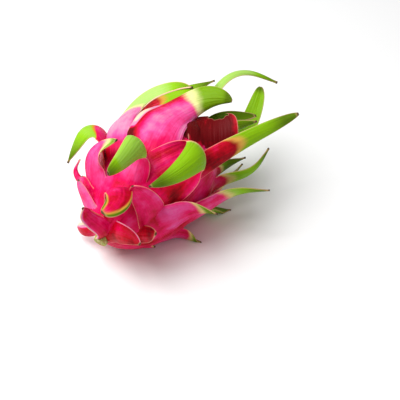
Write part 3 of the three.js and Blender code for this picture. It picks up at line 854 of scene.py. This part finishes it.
class DRAGONFRUIT_OT_body(bpy.types.Operator):
    """Grow the body: an egg, hollowed at the crown and swollen where each scale leaves it"""

    bl_idname = "dragonfruit.body"
    bl_label = "Body"

    SIDES, RINGS = 144, 96
    # Of a swelling: its length, the share of it that its middle is behind the root, and its width as a
    # share of the scale's.
    SWELLING_LENGTH, SWELLING_BEHIND, SWELLING_WIDTH = 0.020, 0.35, 0.8
    # How far from the crown, in radians, the navel's skin begins to turn green and is green, and what it
    # carries there: green from long before its start, and as dry as near a tip.
    GREEN_FROM, GREEN_AT = 0.34, 0.2
    NAVEL_GREEN, NAVEL_TIP = -1, 2.5
    # The navel's slope: how soon it starts in radians, and the shares of its radius and depth in its wall.
    RIM_ROUNDING, WALL_END, WALL_SHARE = 0.03, 0.45, 0.65

    def execute(self, context):
        settings = settings_of(context)
        sizes = settings.body
        shape = FruitShape(sizes)
        nothing_selected()
        bpy.ops.mesh.primitive_uv_sphere_add(segments=self.SIDES, ring_count=self.RINGS, radius=1)
        mesh = named(BODY_NAME).data
        ball = points_of(mesh)
        polar = np.arccos(np.clip(-ball[:, 2], -1, 1))
        turn = np.arctan2(ball[:, 1], ball[:, 0])
        radius, height = self.profile(shape, sizes, polar)
        radial = np.outer(np.cos(turn), shape.upper) + np.outer(np.sin(turn), shape.front)
        points = shape.pole + np.outer(height, shape.axis) + radial * radius[:, None]
        points += self.swell(points, settings)
        move_points(mesh, points)
        corners = corner_points(mesh)
        wound = read_map(mesh, "UVMap")[:, 0] * 2 * math.pi
        hollow = ease(polar, math.pi - self.GREEN_FROM, math.pi - self.GREEN_AT)[corners]
        plain_skin(mesh)
        write_map(mesh, GRAIN, height[corners] / MM, wound * sizes.radius / MM)
        write_map(mesh, RIPENING, blend(NEVER, self.NAVEL_GREEN, hollow), BARE_SKIN[RIPENING][1])
        write_map(mesh, ENDS, blend(FAR_AWAY, self.NAVEL_TIP, hollow), BARE_SKIN[ENDS][1])
        return {"FINISHED"}

    def profile(self, shape, sizes, polar):
        """Radius and height of the skin at each angle from the stem pole, down into the navel."""
        rim = math.pi - math.asin(sizes.navel_radius / sizes.radius)
        radius, height = shape.skin_radius(polar), shape.skin_height(polar)
        wall = ease(polar, rim, rim + self.WALL_END * (math.pi - rim))
        floor = ease(polar, rim - self.RIM_ROUNDING, math.pi)
        depth = sizes.navel_depth * ((1 - self.WALL_SHARE) * floor + self.WALL_SHARE * wall)
        return np.maximum(radius, 0), height - depth

    def swell(self, points, settings):
        """A low ridge under the root of each scale, running back from it towards the stem."""
        moved = np.zeros_like(points)
        behind = self.SWELLING_LENGTH * self.SWELLING_BEHIND
        for blade in all_blades(settings):
            away = points - blade.on_skin
            along = (away @ blade.heading + behind) / self.SWELLING_LENGTH
            aside = away @ blade.side / (blade.half_width * self.SWELLING_WIDTH)
            near = np.exp(-(along**2) - aside**2) * (away @ blade.radial > -blade.skin)
            moved += np.outer(near * settings.body.swelling, blade.radial)
        return moved


class DRAGONFRUIT_OT_stub(bpy.types.Operator):
    """Add the short stub of the stem that the knife left"""

    bl_idname = "dragonfruit.stub"
    bl_label = "Cut stem"

    SIDES = 32
    # Shares of the stem's radius: its foot, its cut end, the bark's width, the pith's and the worn edge.
    FOOT, END, BARK, PITH, WORN = 1.25, 0.9, 0.22, 0.35, 0.06
    # Shares of its length: how far the wood is sunk in its bark, and how far the pith stands out again.
    SUNK, RAISED = 0.12, 0.1
    FACES_UP = 0.9

    def execute(self, context):
        sizes = settings_of(context).body
        shape = FruitShape(sizes)
        lean, toward = sizes.stub_lean, shape.radial(sizes.stub_turn)
        outward = Vector(-shape.axis * math.cos(lean) + toward * math.sin(lean))
        foot = Vector(shape.pole + toward * sizes.stub_offset)
        radius, full = sizes.stub_radius, sizes.stub_length + sizes.stub_root
        nothing_selected()
        bpy.ops.mesh.primitive_cone_add(
            vertices=self.SIDES, radius1=radius * self.FOOT, radius2=radius * self.END, depth=full
        )
        stub = named(STUB_NAME)
        self.select_cut_end(stub)
        bpy.ops.mesh.inset(thickness=radius * self.BARK)
        bpy.ops.transform.translate(value=(0, 0, -sizes.stub_length * self.SUNK))
        bpy.ops.mesh.inset(thickness=radius * self.PITH)
        bpy.ops.transform.translate(value=(0, 0, sizes.stub_length * self.RAISED))
        bpy.ops.object.mode_set(mode="OBJECT")
        turned = outward.to_track_quat("Z", "Y").to_matrix().to_4x4()
        centre = foot + outward * (full / 2 - sizes.stub_root)
        stub.data.transform(Matrix.Translation(centre) @ turned)
        applied(stub, "BEVEL", width=radius * self.WORN, segments=2, limit_method="ANGLE")
        applied(stub, "SUBSURF", levels=1, render_levels=1, subdivision_type="SIMPLE")
        plain_skin(stub.data)
        write_growth(stub.data, AS_STUB)
        return {"FINISHED"}

    def select_cut_end(self, stub):
        """Leaves the new stem in edit mode with only its upper face selected."""
        bpy.ops.object.mode_set(mode="EDIT")
        bpy.ops.mesh.select_all(action="DESELECT")
        bpy.ops.object.mode_set(mode="OBJECT")
        for face in stub.data.polygons:
            face.select = face.normal.z > self.FACES_UP
        bpy.ops.object.mode_set(mode="EDIT")


class DRAGONFRUIT_OT_scales(bpy.types.Operator):
    """Grow every scale: a grid laid along its curved middle line, given its thickness"""

    bl_idname = "dragonfruit.scales"
    bl_label = "Scales"

    FEWEST_ROWS, FEWEST_ACROSS = 12, 8
    MARGIN_CROWDING, TIP_CROWDING = 0.3, 1.25
    # Millimetres of grain from one scale to the next, so that no two have the same streaks.
    GRAIN_APART = 37.0
    SHORTEST_DRY = 0.05
    # Over what the pale rim fades: a width in millimetres, and lengths in u at its start and its end.
    RIM_FADE, RIM_START_FADE, RIM_END_FADE = 1.2, 0.1, 0.15
    # Where the painted shadow along one margin begins in v, and how close to the margins the sooner green
    # of the edge stays.
    SHADOW_SLANT_FROM = 0.3
    EDGE_POWER = 3
    # The depth of the outer face at its root, how much deeper the inner one is there, and where in u each
    # gives way to the scale's own: both are painted shade in the crease where the scale leaves the body.
    ROOT_DEPTH, ROOT_FADES = 0.7, (0.05, 0.3)
    INNER_ROOT_DEEPER, INNER_ROOT_FADES = 0.3, (0, 0.5)

    def execute(self, context):
        settings = settings_of(context)
        for blade in all_blades(settings):
            self.grow(blade, settings.blade)
        return {"FINISHED"}

    def grow(self, blade, sizes):
        nothing_selected()
        bpy.ops.mesh.primitive_grid_add(
            x_subdivisions=max(self.FEWEST_ACROSS, round(2 * blade.half_width / sizes.step)),
            y_subdivisions=max(self.FEWEST_ROWS, round(blade.length / sizes.step)),
            size=2,
            calc_uvs=False,
        )
        scale = named(f"{SCALE_NAME}_{blade.place:02d}")
        mesh = scale.data
        u, v = self.places(points_of(mesh), blade)
        move_points(mesh, blade.surface(u, v))
        group = write_weights(scale, "thickness", blade.thickness(u, v) / sizes.root_thickness)
        self.map_places(mesh, blade, u, v)
        applied(scale, "SOLIDIFY", thickness=sizes.root_thickness, offset=0, use_rim=True,
                material_offset=1, vertex_group=group, use_quality_normals=True)
        scale.vertex_groups.clear()
        self.map_faces(mesh, blade)
        write_growth(mesh, AS_FIRST_SCALE + blade.place)

    def places(self, flat, blade):
        """u and v of each point of the flat grid, closer together near the margins and the tip."""
        across, along = flat[:, 0], (flat[:, 1] + 1) / 2
        v = across * (1 + self.MARGIN_CROWDING - self.MARGIN_CROWDING * across**2)
        u = 1 - (1 - along) ** self.TIP_CROWDING
        return np.clip(u, 0, 1) * blade.reach(v), v

    def map_places(self, mesh, blade, u, v):
        """Writes the maps as far as they hang on the place in the scale, before it has two faces."""
        corners = corner_points(mesh)
        inwards = (1 - np.abs(v)) * blade.half_width_at(u, v)
        tip = (blade.reach(v) - u) * blade.length
        margin = np.minimum(inwards, tip)
        along, across = u * blade.length / MM, v * blade.half_width / MM
        # Painted shadow along the margin that a neighbouring scale overhangs.
        painted_shadow = abs(blade.slant) * ease(np.sign(blade.slant) * v, self.SHADOW_SLANT_FROM, 1)
        tone = painted_shadow - PALE_RIM * self.pale(blade, u, v, inwards)
        write_map(mesh, BLADE, u[corners], (margin / MM)[corners])
        write_map(mesh, GRAIN, along[corners], across[corners] + self.GRAIN_APART * blade.place)
        write_map(mesh, RIPENING, (-blade.edge * np.abs(v) ** self.EDGE_POWER)[corners], 0)
        write_map(mesh, TONE, tone[corners], 0)
        write_map(mesh, ENDS, (tip / MM / max(blade.dry, self.SHORTEST_DRY))[corners], blade.old)

    def pale(self, blade, u, v, inwards):
        """How pale the rim is at each place, from 0 to 1."""
        wide = ease(abs(blade.rim) - inwards / MM, 0, self.RIM_FADE) * (v * blade.rim > 0)
        begun = ease(u, blade.rim_start - self.RIM_START_FADE, blade.rim_start)
        ended = ease(u, blade.rim_end - self.RIM_END_FADE, blade.rim_end)
        return wide * (begun - ended)

    def map_faces(self, mesh, blade):
        """Finishes the maps, which aren't the same on the outer and the inner face."""
        inside = np.empty(len(mesh.polygons), int)
        mesh.polygons.foreach_get("material_index", inside)
        inside = inside[corner_faces(mesh)]
        u = read_map(mesh, BLADE)[:, 0]
        # Painted shade in the crease at the root, on both faces.
        inner = blade.inner_deep + self.INNER_ROOT_DEEPER * (1 - ease(u, *self.INNER_ROOT_FADES))
        outer = blend(self.ROOT_DEPTH, blade.deep, ease(u, *self.ROOT_FADES))
        start = np.where(inside, blade.inner, blade.green) + read_map(mesh, RIPENING)[:, 0]
        depth = np.where(inside, inner, outer) + read_map(mesh, TONE)[:, 0]
        write_map(mesh, RIPENING, start, blade.soft)
        write_map(mesh, TONE, depth, blade.cream)
        mesh.polygons.foreach_set("material_index", np.zeros(len(mesh.polygons), np.int32))


class DRAGONFRUIT_OT_join(bpy.types.Operator):
    """Grow body, stem and scales together into one skin, and let it rest on its flat spot"""

    bl_idname = "dragonfruit.join"
    bl_label = "Grow together"

    CUT_SPAN = 0.4
    # How far from a seam the skin is softened, and how far at full strength.
    SEAM_REACH = 0.0045
    SEAM_CORE = 0.3 * SEAM_REACH
    SEAM_ROUNDS, SEAM_STRENGTH = 14, 0.5
    # A seam is softened where the cosine between its two faces is over GENTLE, and above SPOT_HEIGHT.
    GENTLE = 0.35
    SPOT_HEIGHT = 0.001
    CREASE = 55

    def execute(self, context):
        settings = settings_of(context)
        fruit = get(BODY_NAME)
        self.unite(context, fruit)
        self.flatten(fruit)
        self.soften_seams(fruit)
        self.finish(fruit, settings)
        return {"FINISHED"}

    def unite(self, context, fruit):
        """Makes one closed skin of the body, the stem and all scales."""
        grown = bpy.data.collections.new(SCALES_COLLECTION)
        context.scene.collection.children.link(grown)
        parts = [get(STUB_NAME)] + [o for o in bpy.data.objects if o.name.startswith(SCALE_NAME + "_")]
        if len(parts) != 1 + len(SCALES) + len(far_scales()):
            raise RuntimeError("some scales are missing: grow them first")
        for part in parts:
            for collection in part.users_collection:
                collection.objects.unlink(part)
            grown.objects.link(part)
        applied(fruit, "BOOLEAN", operation="UNION", operand_type="COLLECTION", collection=grown,
                solver="MANIFOLD")
        for part in parts:
            bpy.data.meshes.remove(part.data)
        bpy.data.collections.remove(grown)

    def flatten(self, fruit):
        """Cuts off what is under the floor, which leaves the resting spot."""
        nothing_selected()
        bpy.ops.mesh.primitive_cube_add(size=self.CUT_SPAN, location=(0, 0, -self.CUT_SPAN / 2))
        bpy.ops.object.transform_apply(location=True, rotation=False, scale=False)
        below = named("below_floor")
        plain_skin(below.data)
        applied(fruit, "BOOLEAN", operation="DIFFERENCE", object=below, solver="MANIFOLD")
        bpy.data.meshes.remove(below.data)

    def soften_seams(self, fruit):
        """Rounds the crease where the outer face of a scale leaves the body."""
        group = write_weights(fruit, "seams", self.seam_weights(fruit.data))
        applied(fruit, "SMOOTH", factor=self.SEAM_STRENGTH, iterations=self.SEAM_ROUNDS, vertex_group=group)
        fruit.vertex_groups.clear()

    def seam_weights(self, mesh):
        """1 at every point on a gentle seam with the body, falling to 0 with the distance from it."""
        points = points_of(mesh)
        chosen = self.seam_points(mesh)
        tree = kdtree.KDTree(len(chosen))
        for i in chosen:
            tree.insert(points[i], int(i))
        tree.balance()
        distance = np.array([tree.find(p)[2] for p in points])
        weights = 1 - ease(distance, self.SEAM_CORE, self.SEAM_REACH)
        weights[points[:, 2] < self.SPOT_HEIGHT] = 0
        return weights

    def seam_points(self, mesh):
        """The points between faces of the body and faces that grew as something else."""
        growth = read_growth(mesh)
        normals = np.empty(len(mesh.polygons) * 3)
        mesh.polygons.foreach_get("normal", normals)
        normals = normals.reshape(-1, 3)
        edges = np.empty(len(mesh.loops), int)
        mesh.loops.foreach_get("edge_index", edges)
        order = np.argsort(edges, kind="stable")
        if len(order) != 2 * len(mesh.edges):
            raise RuntimeError("the fruit isn't one closed skin")
        first, second = order[0::2], order[1::2]
        faces = corner_faces(mesh)
        a, b = faces[first], faces[second]
        gentle = (normals[a] * normals[b]).sum(1) > self.GENTLE
        with_body = (growth[a] != growth[b]) & (np.minimum(growth[a], growth[b]) == AS_BODY)
        seam = gentle & with_body
        return np.unique(corner_points(mesh)[np.concatenate([first[seam], second[seam]])])

    def finish(self, fruit, settings):
        """Names the fruit, keeps it in the solids' box, shades it and puts it in the solids' place."""
        mesh = fruit.data
        fruit.name = mesh.name = FRUIT_NAME
        low, high = (np.array(corner) for corner in CAD_BOX)
        move_points(mesh, np.clip(points_of(mesh), low, high))
        only(fruit)
        bpy.ops.object.shade_smooth_by_angle(angle=math.radians(self.CREASE))
        mesh.materials.clear()
        mesh.materials.append(skin_material(settings.colours))
        mesh.materials.append(stem_material(settings.colours))
        mesh.polygons.foreach_set("material_index", (read_growth(mesh) == AS_STUB).astype(np.int32))
        mesh.attributes.remove(mesh.attributes[GROWTH])
        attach(fruit, "root")
        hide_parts("dragon_fruit")


class DRAGONFRUIT_OT_stage(bpy.types.Operator):
    """Lay the pale floor, hang the soft lights and stand the camera"""

    bl_idname = "dragonfruit.stage"
    bl_label = "Stage"

    # Way to the key light: right and up in the picture, and back to the camera.
    KEY_RIGHT, KEY_UP, KEY_BACK = -0.5, 0.7, 0.7

    def execute(self, context):
        settings = settings_of(context)
        stage = settings.stage
        centre = Vector(FruitShape(settings.body).centre)
        self.lay_floor(stage)
        self.light(context, stage, centre)
        self.stand_camera(context, stage, centre)
        context.scene.view_settings.view_transform = "Standard"
        context.scene.view_settings.look = "None"
        return {"FINISHED"}

    def lay_floor(self, stage):
        nothing_selected()
        bpy.ops.mesh.primitive_plane_add(size=stage.floor_span)
        floor = named("studio_floor")
        floor.data.materials.append(floor_material(stage))

    def light(self, context, stage, centre):
        world = bpy.data.worlds.new("studio_sky")
        world.use_nodes = True
        sky = world.node_tree.nodes["Background"].inputs
        sky["Color"].default_value = (1, 1, 1, 1)
        sky["Strength"].default_value = stage.sky
        context.scene.world = world
        back, right, up = self.directions(stage)
        way = (right * self.KEY_RIGHT + up * self.KEY_UP + back * self.KEY_BACK).normalized()
        place = centre + way * stage.key_distance
        bpy.ops.object.light_add(type="AREA", location=place)
        key = context.active_object
        key.name = "key_light"
        key.data.size, key.data.energy = stage.key_size, stage.key
        key.rotation_euler = (centre - place).to_track_quat("-Z", "Y").to_euler()

    def stand_camera(self, context, stage, centre):
        back, right, up = self.directions(stage)
        aim = centre + right * stage.shift_right - up * stage.shift_down
        bpy.ops.object.camera_add(location=aim + back * stage.distance)
        camera = context.active_object
        camera.name = "studio_camera"
        camera.data.lens = stage.lens
        camera.rotation_euler = (-back).to_track_quat("-Z", "Y").to_euler()
        context.scene.camera = camera

    def directions(self, stage):
        """Towards the camera, and right and up in its picture."""
        a, e = stage.azimuth, stage.elevation
        back = Vector((math.sin(a) * math.cos(e), -math.cos(a) * math.cos(e), math.sin(e)))
        right = Vector((math.cos(a), math.sin(a), 0))
        return back, right, back.cross(right)


class DRAGONFRUIT_PT_panel(bpy.types.Panel):
    """The operators in the order in which they run, and the settings that they read"""

    bl_label = "Dragon Fruit"
    bl_idname = "DRAGONFRUIT_PT_panel"
    bl_space_type = "VIEW_3D"
    bl_region_type = "UI"
    bl_category = "Dragon Fruit"

    def draw(self, context):
        settings = settings_of(context)
        for step in STEPS:
            self.layout.operator(step.bl_idname)
        for group in (settings.body, settings.blade, settings.colours, settings.stage):
            box = self.layout.box()
            for name in group.__annotations__:
                box.prop(group, name)


STEPS = (
    DRAGONFRUIT_OT_body,
    DRAGONFRUIT_OT_stub,
    DRAGONFRUIT_OT_scales,
    DRAGONFRUIT_OT_join,
    DRAGONFRUIT_OT_stage,
)
CLASSES = (BodySizes, BladeSizes, SkinColours, StageSettings, FruitSettings, *STEPS, DRAGONFRUIT_PT_panel)


def register():
    for cls in CLASSES:
        bpy.utils.register_class(cls)
    bpy.types.Scene.dragon_fruit = PointerProperty(type=FruitSettings)


def unregister():
    del bpy.types.Scene.dragon_fruit
    for cls in reversed(CLASSES):
        bpy.utils.unregister_class(cls)


def main():
    register()
    bpy.ops.dragonfruit.body()
    bpy.ops.dragonfruit.stub()
    bpy.ops.dragonfruit.scales()
    bpy.ops.dragonfruit.join()
    bpy.ops.dragonfruit.stage()


if __name__ == "__main__":
    main()
